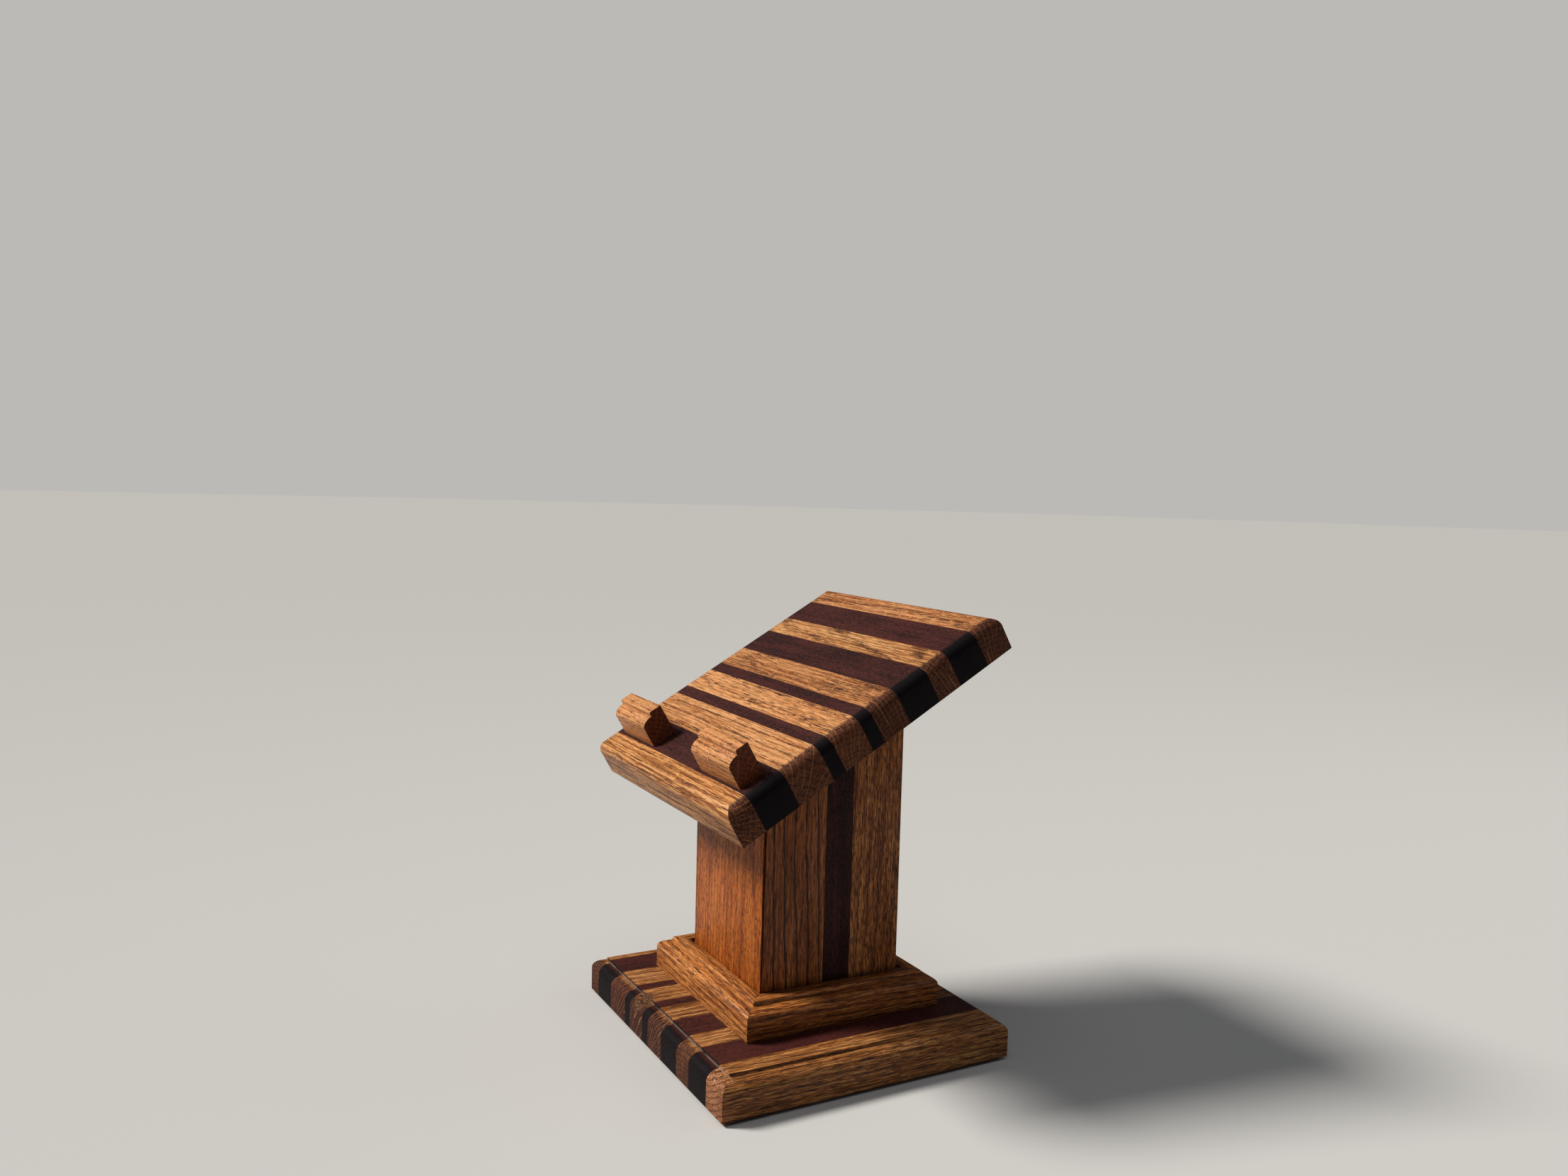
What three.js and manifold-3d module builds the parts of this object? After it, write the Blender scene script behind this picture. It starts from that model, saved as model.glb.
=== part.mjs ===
// Desktop photo album stand in two woods: a routed, edge-glued base, a hollow mitred column
// with its top cut to a slope, and a tilted ledge board with two blocks that stop the album.
// Units are millimetres, +Z up. The origin is the centre of the felt pads' underside,
// +X is the user's right and the album faces -Y.
import * as THREE from 'three';
import { mergeVertices } from 'three/addons/utils/BufferGeometryUtils.js';
import Module from 'manifold-3d';

// Glue lines and clearances
const seam = 0.3; // gap left at every glue line and round every fastener
const arcSteps = 6; // straight steps in each routed quarter round
const roundSides = 20; // sides of dowels, screws and their holes

// Base and ledge board: one pattern of edge-glued strips, oak (o) and dark wood (d)
const stripWoods = ['o', 'd', 'o', 'd', 'o', 'd', 'o', 'd', 'o', 'd', 'o'];
const baseStripWidths = [14.2, 23.4, 25.9, 8.6, 21.2, 9.1, 21.3, 23.5, 17.9, 24.4, 21.5]; // left to right
const boardStripWidths = [16.2, 24.4, 25.4, 9.2, 20.8, 9.1, 20.2, 23.5, 17.4, 22.9, 20.5]; // front to back
const panelThickness = 24;

// Base
const padThickness = 2;
const padRadius = 10;
const padInset = 22; // from the base's edges to a pad's centre
const baseDepth = 200;
const baseWidth = sum(baseStripWidths);
const baseBottom = padThickness;
const baseTop = baseBottom + panelThickness;
const baseEdge = { straight: 15.6, reach: 8.2, rise: 6.4 }; // vertical face, then ovolo, then a step

// Moulding round the column, also cut into the two album blocks
const moulding = { depth: 16.8, height: 21.6, straight: 13.7, reach: 8, rise: 4.9, step: 2, round: 1 };
const mouldingFrame = { size: 137.7, centreX: -1.5, centreY: 3.1 };

// Hollow column, mitred at its four long corners
const column = { left: -46.5, right: 50.2, front: -48.6, back: 50.7, wall: 19 };
const sideJoints = [-4.7, 14.5]; // glue lines in each side wall, as Y
const plugHeight = 42;

// Ledge board
const boardTilt = THREE.MathUtils.degToRad(30);
const boardLength = sum(boardStripWidths);
const boardWidth = 203.2;
const boardCentreX = 1.6;
const boardFront = { y: -89.3, z: 157 }; // lower front edge
const boardEdgeRadius = 7.5;
const blockSetback = 18; // from the board's front edge to the blocks' moulded face
const blocks = [
  { name: 'album_block_left', centreX: -60.8, length: 50.2 },
  { name: 'album_block_right', centreX: 63.2, length: 51.6 },
];

// Fasteners
const boardDowel = { radius: 4, below: 22, above: 15, x: 15, strips: [4, 6] };
const blockDowel = { radius: 3, below: 11, above: 12, x: 15, setback: 9.5 };
const screw = { radius: 2, headRadius: 4.4, headDepth: 3, length: 48, tip: 6, recess: 1 };
const screwPlaces = [[-22, -16], [-22, 18], [24, -16], [24, 18]];

// Finishes
const oak = new THREE.MeshStandardMaterial({ color: 0xa9682f, roughness: 0.45, metalness: 0 });
const darkWood = new THREE.MeshStandardMaterial({ color: 0x3a1a1c, roughness: 0.4, metalness: 0 });
const paleWood = new THREE.MeshStandardMaterial({ color: 0xcfa877, roughness: 0.7, metalness: 0 });
const steel = new THREE.MeshStandardMaterial({ color: 0xb9b4a4, roughness: 0.35, metalness: 1 });
const felt = new THREE.MeshStandardMaterial({ color: 0x1c1a19, roughness: 1, metalness: 0 });

const wasm = await Module();
wasm.setup();

const photoAlbumStand = new THREE.Group();
const ledge = new THREE.Group(); // local Y runs up the slope, local Z stands off the board
ledge.position.set(boardCentreX, boardFront.y, boardFront.z);
ledge.rotation.x = boardTilt;
ledge.updateMatrixWorld();
photoAlbumStand.add(ledge);

addBase();
addPads();
addMouldingFrame();
addColumnBoards();
addPlugs();
addLedgeBoard();
addBlocks();
addDowels();
addScrews();

// --- sub-parts ---

function addBase() {
  const slab = routedSlab(baseWidth, baseDepth, baseEdgePoints());
  const bores = screwPlaces.map(([x, y]) => screwSolid(seam, screw.recess + seam).translate(x, y, 0));
  const cuts = stripSpans(baseStripWidths, -baseWidth / 2);
  cuts.forEach(([start, end], i) => {
    let strip = slab.intersect(boxSolid([start, end], [-baseDepth, baseDepth], [-1, panelThickness + 1]));
    for (const bore of bores) {
      strip = strip.subtract(bore);
    }
    const mesh = addMesh(photoAlbumStand, `base_strip_${twoDigits(i + 1)}`, strip, woodOf(i));
    mesh.position.z = baseBottom;
  });
}

function addPads() {
  const reachX = baseWidth / 2 - padInset;
  const reachY = baseDepth / 2 - padInset;
  const places = { front_left: [-1, -1], front_right: [1, -1], back_left: [-1, 1], back_right: [1, 1] };
  for (const [corner, [sideX, sideY]] of Object.entries(places)) {
    const disc = new THREE.CylinderGeometry(padRadius, padRadius, padThickness - seam, 32);
    const mesh = addMesh(photoAlbumStand, `felt_pad_${corner}`, solidOf(disc.rotateX(Math.PI / 2)), felt);
    mesh.position.set(sideX * reachX, sideY * reachY, (padThickness - seam) / 2);
  }
}

function addMouldingFrame() {
  const frame = new THREE.Group();
  frame.position.set(mouldingFrame.centreX, mouldingFrame.centreY, baseTop + seam);
  photoAlbumStand.add(frame);
  const half = mouldingFrame.size / 2;
  const inner = half - moulding.depth;
  const trapezoid = polygon([
    [-half + seam, -half], [half - seam, -half], [inner - seam, -inner], [-inner + seam, -inner],
  ]);
  const mitred = solidOf(extruded(trapezoid, moulding.height))
    .intersect(profileAlongX(mouldingPoints(), mouldingFrame.size, -half));
  ['front', 'right', 'back', 'left'].forEach((side, i) => {
    const mesh = addMesh(frame, `moulding_${side}`, mitred, oak);
    mesh.rotation.z = i * Math.PI / 2;
  });
}

function addColumnBoards() {
  const { left, right, front, back, wall } = column;
  const mitre = seam / Math.SQRT2; // half of the open mitre, measured along a wall
  const endWall = (outer, inner) => [
    [left + mitre, outer], [right - mitre, outer],
    [right - wall - mitre, inner], [left + wall + mitre, inner],
  ];
  addColumnBoard('column_front_board', endWall(front, front + wall), oak);
  addColumnBoard('column_back_board', endWall(back, back - wall), oak);
  const [jointFront, jointBack] = sideJoints;
  for (const [side, outer, inner] of [['left', left, left + wall], ['right', right, right - wall]]) {
    addColumnBoard(`column_${side}_strip_front`, [
      [outer, front + mitre], [outer, jointFront - seam / 2],
      [inner, jointFront - seam / 2], [inner, front + wall + mitre],
    ], oak);
    addColumnBoard(`column_${side}_strip_middle`, [
      [outer, jointFront + seam / 2], [outer, jointBack - seam / 2],
      [inner, jointBack - seam / 2], [inner, jointFront + seam / 2],
    ], darkWood);
    addColumnBoard(`column_${side}_strip_back`, [
      [outer, jointBack + seam / 2], [outer, back - mitre],
      [inner, back - wall - mitre], [inner, jointBack + seam / 2],
    ], oak);
  }
}

function addColumnBoard(name, outline, wood) {
  const tallest = boardFront.z + boardLength;
  const prism = solidOf(extruded(polygon(outline), tallest)).translate(0, 0, baseTop + seam);
  addMesh(photoAlbumStand, name, prism.subtract(aboveSlope()), wood);
}

function addPlugs() {
  const spanX = [column.left + column.wall + seam, column.right - column.wall - seam];
  const spanY = [column.front + column.wall + seam, column.back - column.wall - seam];
  const lowest = baseTop + seam;
  let lower = boxSolid(spanX, spanY, [lowest, lowest + plugHeight]);
  for (const [x, y] of screwPlaces) {
    lower = lower.subtract(screwSolid(seam, screw.recess).translate(x, y, baseBottom));
  }
  addMesh(photoAlbumStand, 'column_plug_lower', lower, paleWood);

  const slopeFoot = slopeHeight(spanY[0]) - plugHeight;
  let upper = boxSolid(spanX, spanY, [slopeFoot, slopeHeight(spanY[1]) + 1]).subtract(aboveSlope());
  for (const place of boardDowelPlaces()) {
    upper = upper.subtract(onLedge(dowelSolid(boardDowel, seam).translate(...place)));
  }
  addMesh(photoAlbumStand, 'column_plug_upper', upper, paleWood);
}

function addLedgeBoard() {
  const panel = routedSlab(boardWidth, boardLength, boardEdgePoints());
  const holes = [
    ...boardDowelPlaces().map((place) => dowelSolid(boardDowel, seam).translate(...place)),
    ...blockDowelPlaces().map((place) => dowelSolid(blockDowel, seam).translate(...place)),
  ];
  stripSpans(boardStripWidths, 0).forEach(([start, end], i) => {
    const slice = boxSolid([-boardWidth, boardWidth], [start, end], [-1, panelThickness + 1]);
    let strip = panel.translate(0, boardLength / 2, 0).intersect(slice);
    for (const hole of holes) {
      strip = strip.subtract(hole);
    }
    addMesh(ledge, `board_strip_${twoDigits(i + 1)}`, strip, woodOf(i));
  });
}

function addBlocks() {
  for (const block of blocks) {
    const lift = panelThickness + seam;
    let solid = profileAlongX(mouldingPoints(), block.length, 0);
    solid = solid.translate(block.centreX, blockSetback, lift);
    for (const place of blockDowelPlaces()) {
      solid = solid.subtract(dowelSolid(blockDowel, seam).translate(...place));
    }
    addMesh(ledge, block.name, solid, oak);
  }
}

function addDowels() {
  boardDowelPlaces().forEach((place, i) => {
    addMesh(ledge, `board_dowel_${i + 1}`, dowelSolid(boardDowel, 0).translate(...place), paleWood);
  });
  blockDowelPlaces().forEach((place, i) => {
    addMesh(ledge, `album_block_dowel_${i + 1}`, dowelSolid(blockDowel, 0).translate(...place), paleWood);
  });
}

function addScrews() {
  screwPlaces.forEach(([x, y], i) => {
    const placed = screwSolid(0, screw.recess).translate(x, y, baseBottom);
    addMesh(photoAlbumStand, `base_screw_${i + 1}`, placed, steel);
  });
}

// --- sections and places ---

// Points of a section run as [inset from the outer face, height], from the outer lower corner up.
function baseEdgePoints() {
  const { straight, reach, rise } = baseEdge;
  return [[0, 0], ...quarterRound(0, straight, reach, rise), [reach, panelThickness]];
}

function boardEdgePoints() {
  const radius = boardEdgeRadius;
  return [[0, 0], ...quarterRound(0, panelThickness - radius, radius, radius)];
}

function mouldingPoints() {
  const { depth, height, straight, reach, rise, step, round } = moulding;
  return [
    [0, 0],
    ...quarterRound(0, straight, reach, rise),
    ...quarterRound(reach, straight + rise + step, round, height - straight - rise - step),
    [depth, height],
    [depth, 0],
  ];
}

// A convex quarter of an ellipse that leaves the outer face upright and ends level.
function quarterRound(inset, height, reach, rise) {
  return Array.from({ length: arcSteps + 1 }, (_, i) => {
    const angle = (i / arcSteps) * Math.PI / 2;
    return [inset + reach * (1 - Math.cos(angle)), height + rise * Math.sin(angle)];
  });
}

function boardDowelPlaces() {
  const spans = stripSpans(boardStripWidths, 0);
  return boardDowel.strips.flatMap((index) => {
    const middle = (spans[index][0] + spans[index][1]) / 2;
    return [-boardDowel.x, boardDowel.x].map((x) => [x, middle, 0]);
  });
}

function blockDowelPlaces() {
  return blocks.flatMap(({ centreX }) => [-blockDowel.x, blockDowel.x]
    .map((x) => [centreX + x, blockSetback + blockDowel.setback, panelThickness]));
}

function slopeHeight(y) {
  return boardFront.z + (y - boardFront.y) * Math.tan(boardTilt) - seam;
}

function stripSpans(widths, start) {
  let edge = start;
  return widths.map((width, i) => {
    const from = i === 0 ? edge - 1 : edge + seam / 2;
    edge += width;
    return [from, i === widths.length - 1 ? edge + 1 : edge - seam / 2];
  });
}

function woodOf(index) {
  return stripWoods[index] === 'o' ? oak : darkWood;
}

// --- solids ---

// A slab centred on X and Y whose four edges carry the same section, mitred at the corners.
function routedSlab(width, depth, edgePoints) {
  const bothEdges = (span) => {
    const near = edgePoints.map(([inset, height]) => [-span / 2 + inset, height]);
    const far = edgePoints.map(([inset, height]) => [span / 2 - inset, height]).reverse();
    return polygon([...near, ...far]);
  };
  const alongY = extruded(bothEdges(width), depth).rotateX(Math.PI / 2).translate(0, depth / 2, 0);
  const alongX = extruded(bothEdges(depth), width).rotateX(Math.PI / 2).rotateZ(Math.PI / 2)
    .translate(-width / 2, 0, 0);
  return solidOf(alongY).intersect(solidOf(alongX));
}

// A section swept along X, centred on it, with its outer face at y = front.
function profileAlongX(points, length, front) {
  const outline = polygon(points.map(([inset, height]) => [front + inset, height]));
  const swept = extruded(outline, length).rotateX(Math.PI / 2).rotateZ(Math.PI / 2);
  return solidOf(swept.translate(-length / 2, 0, 0));
}

function boxSolid([x0, x1], [y0, y1], [z0, z1]) {
  const box = new THREE.BoxGeometry(x1 - x0, y1 - y0, z1 - z0);
  return solidOf(box.translate((x0 + x1) / 2, (y0 + y1) / 2, (z0 + z1) / 2));
}

function dowelSolid({ radius, below, above }, clearance) {
  const length = below + above + 2 * clearance;
  const rod = new THREE.CylinderGeometry(radius + clearance, radius + clearance, length, roundSides);
  return solidOf(rod.rotateX(Math.PI / 2).translate(0, 0, (above - below) / 2));
}

// Countersunk wood screw pointing up, its head this far above z = 0, or the hole that takes it.
function screwSolid(clearance, headHeight) {
  const { radius, headRadius, headDepth, length, tip } = screw;
  const hole = clearance > 0;
  const lowest = hole ? -1 : headHeight;
  const profile = [
    [0, lowest],
    [headRadius + clearance, lowest],
    [headRadius + clearance, headHeight],
    [radius + clearance, headHeight + headDepth],
    [radius + clearance, headHeight + length - tip],
    [0, headHeight + length + clearance],
  ].filter(([r, z], i, all) => i === 0 || r !== all[i - 1][0] || z !== all[i - 1][1]);
  const points = profile.map(([r, z]) => new THREE.Vector2(r, z));
  return solidOf(new THREE.LatheGeometry(points, roundSides).rotateX(Math.PI / 2));
}

// Everything above the ledge board's underside, less the glue line.
function aboveSlope() {
  const reach = 2 * boardLength;
  return onLedge(boxSolid([-reach, reach], [-reach, reach], [-seam, reach]));
}

function onLedge(solid) {
  return solid.transform(ledge.matrixWorld.toArray());
}

function polygon(points) {
  return new THREE.Shape(points.map(([x, y]) => new THREE.Vector2(x, y)));
}

function extruded(shape, depth) {
  return new THREE.ExtrudeGeometry(shape, { depth, bevelEnabled: false });
}

function solidOf(geometry) {
  const bare = geometry.clone();
  bare.deleteAttribute('normal');
  bare.deleteAttribute('uv');
  const merged = mergeVertices(bare, 1e-4);
  const corners = merged.index.array;
  const triVerts = [];
  for (let i = 0; i < corners.length; i += 3) {
    const [a, b, c] = [corners[i], corners[i + 1], corners[i + 2]];
    if (a !== b && b !== c && a !== c) triVerts.push(a, b, c);
  }
  const vertProperties = new Float32Array(merged.attributes.position.array);
  const mesh = new wasm.Mesh({ numProp: 3, vertProperties, triVerts: new Uint32Array(triVerts) });
  return new wasm.Manifold(mesh);
}

function addMesh(parent, name, solid, material) {
  const { vertProperties, triVerts } = solid.getMesh();
  const geometry = new THREE.BufferGeometry();
  geometry.setAttribute('position', new THREE.BufferAttribute(vertProperties.slice(), 3));
  geometry.setIndex(new THREE.BufferAttribute(triVerts.slice(), 1));
  geometry.computeVertexNormals();
  const mesh = new THREE.Mesh(geometry, material);
  mesh.name = name;
  parent.add(mesh);
  return mesh;
}

function sum(values) {
  return values.reduce((total, value) => total + value, 0);
}

function twoDigits(number) {
  return String(number).padStart(2, '0');
}

export default photoAlbumStand;
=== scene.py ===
import math
import random

import bmesh
import bpy
from mathutils import Matrix, Vector


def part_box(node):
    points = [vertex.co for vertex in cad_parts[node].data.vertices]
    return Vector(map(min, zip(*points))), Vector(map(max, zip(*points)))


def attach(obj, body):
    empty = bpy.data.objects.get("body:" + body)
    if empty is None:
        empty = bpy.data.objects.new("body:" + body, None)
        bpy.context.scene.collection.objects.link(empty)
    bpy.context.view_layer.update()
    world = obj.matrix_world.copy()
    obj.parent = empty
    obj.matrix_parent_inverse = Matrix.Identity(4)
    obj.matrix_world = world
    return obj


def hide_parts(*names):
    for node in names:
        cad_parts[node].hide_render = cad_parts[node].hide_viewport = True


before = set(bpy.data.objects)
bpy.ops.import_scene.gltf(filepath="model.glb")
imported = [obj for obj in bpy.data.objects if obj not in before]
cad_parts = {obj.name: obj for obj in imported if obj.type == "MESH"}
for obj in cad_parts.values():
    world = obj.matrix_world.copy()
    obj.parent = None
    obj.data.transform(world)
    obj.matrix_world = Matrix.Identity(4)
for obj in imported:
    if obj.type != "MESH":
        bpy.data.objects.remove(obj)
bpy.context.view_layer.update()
print("frame loaded:", len(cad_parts), "nodes")

mm = 0.001
perMetre = 1000  # millimetres


def clearSelection():
    if bpy.context.object and bpy.context.object.mode != "OBJECT":
        bpy.ops.object.mode_set(mode="OBJECT")
    bpy.ops.object.select_all(action="DESELECT")


def pick(piece):
    clearSelection()
    piece.select_set(True)
    bpy.context.view_layer.objects.active = piece


def editAll(piece):
    pick(piece)
    bpy.ops.object.mode_set(mode="EDIT")
    bpy.ops.mesh.select_all(action="SELECT")


def editFaces(piece, wanted):
    # leaves edit mode on, with only the faces that pass the test selected
    pick(piece)
    bpy.ops.object.mode_set(mode="EDIT")
    bpy.ops.mesh.select_mode(type="FACE")
    bpy.ops.mesh.select_all(action="DESELECT")
    shape = bmesh.from_edit_mesh(piece.data)
    for face in shape.faces:
        face.select = wanted(face.calc_center_median(), face.normal)
    bmesh.update_edit_mesh(piece.data)


def leaveEdit():
    bpy.ops.object.mode_set(mode="OBJECT")


def settle(piece):
    # puts the object's place, turn and size into its mesh
    pick(piece)
    bpy.ops.object.transform_apply(location=True, rotation=True, scale=True)


def addBlock(name, low, high):
    clearSelection()
    centre = [(a + b) / 2 for a, b in zip(low, high)]
    bpy.ops.mesh.primitive_cube_add(size=1, location=centre)
    piece = bpy.context.object
    piece.name = name
    piece.scale = [b - a for a, b in zip(low, high)]
    settle(piece)
    return piece


def addCylinder(name, sides, radius, depth, centre):
    clearSelection()
    bpy.ops.mesh.primitive_cylinder_add(vertices=sides, radius=radius, depth=depth,
                                        end_fill_type="NGON", location=centre)
    piece = bpy.context.object
    piece.name = name
    settle(piece)
    return piece


def copyPiece(source, name):
    made = source.copy()
    made.data = source.data.copy()
    made.name = name
    made.data.name = name
    bpy.context.scene.collection.objects.link(made)
    return made


def removePiece(piece):
    bpy.data.objects.remove(piece, do_unlink=True)


def cutAway(piece, point, outward):
    # everything on the outward side of the plane goes, and the cut is closed
    editAll(piece)
    bpy.ops.mesh.bisect(plane_co=point, plane_no=outward, use_fill=True, clear_outer=True)
    leaveEdit()


def applyModifier(piece, kind, name, **settings):
    pick(piece)
    modifier = piece.modifiers.new(name, kind)
    for key, value in settings.items():
        setattr(modifier, key, value)
    bpy.ops.object.modifier_apply(modifier=modifier.name)


def softenEdges(piece, width, segments=2, angle=40):
    # rounds the edges that turn by more than the angle, in degrees
    applyModifier(piece, "BEVEL", "softened edges", width=width, segments=segments,
                  limit_method="ANGLE", angle_limit=math.radians(angle), use_clamp_overlap=True)


def smoothFaces(piece, angle=32):
    pick(piece)
    bpy.ops.object.shade_smooth_by_angle(angle=math.radians(angle))


def quarterRound(reach, rise, steps):
    # inset and height of each step of a convex quarter ellipse that ends level
    turns = [math.pi / 2 * i / steps for i in range(1, steps + 1)]
    return [(reach * (1 - math.cos(turn)), rise * math.sin(turn)) for turn in turns]


def ready(piece, material, slot, node):
    piece.data.materials.clear()
    piece.data.materials.append(material)
    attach(piece, "root")
    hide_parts(node)


class Wire:  # one output of a node, which can stand in a sum
    def __init__(self, tree, socket):
        self.tree = tree
        self.socket = socket

    def node(self, kind, settings, inputs, output=0):
        made = self.tree.nodes.new(kind)
        for name, value in settings.items():
            if name == "stops":
                fillRamp(made.color_ramp, value)
            else:
                setattr(made, name, value)
        for name, value in inputs.items():
            if isinstance(value, Wire):
                self.tree.links.new(value.socket, made.inputs[name])
            else:
                made.inputs[name].default_value = value
        return Wire(self.tree, made.outputs[output])

    def math(self, operation, a, b=0.0):
        return self.node("ShaderNodeMath", {"operation": operation}, {0: a, 1: b})

    def __add__(self, other):
        return self.math("ADD", self, other)

    def __radd__(self, other):
        return self.math("ADD", other, self)

    def __sub__(self, other):
        return self.math("SUBTRACT", self, other)

    def __rsub__(self, other):
        return self.math("SUBTRACT", other, self)

    def __mul__(self, other):
        return self.math("MULTIPLY", self, other)

    def __rmul__(self, other):
        return self.math("MULTIPLY", other, self)

    def __truediv__(self, other):
        return self.math("DIVIDE", self, other)

    def __pow__(self, other):
        return self.math("POWER", self, other)

    def __abs__(self):
        return self.math("ABSOLUTE", self)

    def axes(self):
        split = self.node("ShaderNodeSeparateXYZ", {}, {0: self}).socket.node
        return [Wire(self.tree, output) for output in split.outputs]

    def ramp(self, low, high):  # 0 below low, 1 above high, smooth between
        return self.node("ShaderNodeMapRange", {"interpolation_type": "SMOOTHSTEP"},
                         {"Value": self, "From Min": low, "From Max": high})

    def mix(self, first, second):  # two colours, with this wire as the factor
        return self.node("ShaderNodeMix", {"data_type": "RGBA"}, {0: self, 6: first, 7: second}, 2)


def fillRamp(ramp, stops):
    while len(ramp.elements) < len(stops):
        ramp.elements.new(0.5)
    for element, (place, colour) in zip(ramp.elements, stops):
        element.position = place
        element.color = colour


def colour(red, green, blue):
    return (red, green, blue, 1.0)


def newMaterial(name):
    # the wire holds no output yet: it only makes nodes in the material's tree
    material = bpy.data.materials.new(name)
    material.use_nodes = True
    tree = material.node_tree
    shader = tree.nodes["Principled BSDF"]
    return material, tree, shader, Wire(tree, None)


def join(tree, shader, **sockets):
    for name, wire in sockets.items():
        tree.links.new(wire.socket, shader.inputs[name])


class Grain:  # a board's directions: across its face, along the grain, through the thickness
    def __init__(self, across, along):
        self.across = Vector(across).normalized()
        self.along = Vector(along).normalized()
        self.through = self.across.cross(self.along)

    def turn(self):
        return Matrix((self.across, self.along, self.through)).to_euler("XYZ")


def boardSpace(wire, grain, place, heart):
    # millimetres from the board's heart: x across, y along the grain, z through
    point = wire.node("ShaderNodeTexCoord", {}, {}, "Object")
    turned = grain.turn()
    middle = Matrix((grain.across, grain.along, grain.through)) @ Vector(place)
    shift = [offset - part * perMetre for offset, part in zip(heart, middle)]
    return point.node("ShaderNodeMapping", {"vector_type": "POINT"},
                      {"Vector": point, "Scale": [perMetre] * 3, "Rotation": turned, "Location": shift})


def noise(wire, vector, size, detail, seed, roughness=0.5):
    # noise whose lumps are this long along x, y and z, in the unit of the vector
    scaled = wire.node("ShaderNodeVectorMath", {"operation": "MULTIPLY_ADD"},
                       {0: vector, 1: [1 / s for s in size], 2: (seed, seed * 0.7, seed * 1.3)})
    return wire.node("ShaderNodeTexNoise", {"noise_dimensions": "3D"},
                     {"Vector": scaled, "Scale": 1.0, "Detail": detail, "Roughness": roughness}, "Fac")


def nearPoint(wire, place, size, seed):
    # 1 in a ragged spot of this radius in millimetres round a point of the stand
    point = wire.node("ShaderNodeTexCoord", {}, {}, "Object")
    away = wire.node("ShaderNodeVectorMath", {"operation": "DISTANCE"},
                     {0: point, 1: tuple(place)}, "Value")
    ragged = noise(wire, point, [size * 0.35 * mm] * 3, 2, seed, 0.6)
    return 1 - (away * (perMetre / size) + (ragged - 0.5) * 1.6).ramp(0.55, 0.95)


# pale colour painted along the base's step edge: a painted highlight, with sanding dust
dustHighlightColour = colour(0.30, 0.22, 0.16)


def creaseDustAndHighlight(wire, seed):
    # a pale line painted along the step's top edge at the base's front: a painted highlight of that
    # edge, with sanding dust
    point = wire.node("ShaderNodeTexCoord", {}, {}, "Object")
    _, y, z = point.axes()
    beside = abs(y - base["crease"].y) * perMetre
    above = abs(z - base["crease"].z) * perMetre
    patchy = noise(wire, point, [11 * mm] * 3, 2, seed, 0.6).ramp(0.22, 0.60)
    return (1 - beside.ramp(0.25, 0.7)) * (1 - above.ramp(0.5, 1.6)) * patchy


def endGrain(wire, grain):
    # 1 where the surface cuts straight across the grain
    normal = wire.node("ShaderNodeNewGeometry", {}, {}, "True Normal")
    facing = wire.node("ShaderNodeVectorMath", {"operation": "DOT_PRODUCT"},
                       {0: normal, 1: tuple(grain.along)}, "Value")
    return abs(facing).ramp(0.05, 0.42)


def combined(wire, x, y, z):
    return wire.node("ShaderNodeCombineXYZ", {}, {0: x, 1: y, 2: z})


def bent(wire, x, y, z, amount):
    # a board's coordinates with the growth rings pushed aside by this many millimetres
    return combined(wire, x + amount, y, z + amount * 0.7)


def bumpOf(wire, height, strength, depth):
    return wire.node("ShaderNodeBump", {}, {"Height": height, "Strength": strength, "Distance": depth})


def multiply(wire, first, second):
    return wire.node("ShaderNodeMix", {"data_type": "RGBA", "blend_type": "MULTIPLY"},
                     {0: 1.0, 6: first, 7: second}, 2)


oakLook = {
    "ground": [(0.0, colour(0.580, 0.300, 0.120)), (0.30, colour(0.400, 0.165, 0.048)),
               (0.62, colour(0.230, 0.077, 0.017)), (1.0, colour(0.085, 0.025, 0.006))],
    "line": colour(0.040, 0.013, 0.004),
    "pore": colour(0.024, 0.008, 0.003),
    "ray": colour(0.300, 0.135, 0.060),
    "silver": colour(0.52, 0.27, 0.11),
    "splinter": colour(0.26, 0.13, 0.060),
    "scratch": colour(0.60, 0.36, 0.20),
    "bandSize": 1.1,         # millimetres across a pale or dark band
    "bump": 0.8,
    "bumpDepth": 0.26 * mm,
    "roughness": 0.46,
    "coat": 0.12,
    "coatRoughness": 0.32,
    "specular": 0.18,
}
oakBoard = {
    "rings": 3.0,            # width of a growth ring in millimetres
    "taper": 0.02,           # drift of the rings along the board
    "tint": (1, 1, 1),
    "bands": 0.6,            # strength of the pale and dark bands
    "lines": 0.6,            # strength of the long dark lines
    "lineWidth": 0.35,       # their share of a ring
    "broken": 0.50,          # how often they stop
    "dashes": 0.6,           # number of open pores
    "dashSize": (0.5, 9, 0.5),
    "dashDepth": 0.85,       # their darkness
    "spread": 0.5,           # how far they stray from the lines
    "flecks": 0.1,           # strength of the silver figure
    "rayGap": 3.0,           # millimetres between rays on the end grain
    "end": (0.34, 0.25, 0.22),  # tint of the end grain
    "scratches": 0.0,        # strength of the sanding marks
    "scar": None,            # centre of a torn spot and its radius in millimetres
    # whether the painted highlight and sanding dust along the base's step edge is laid on
    "dust": False,
}


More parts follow.
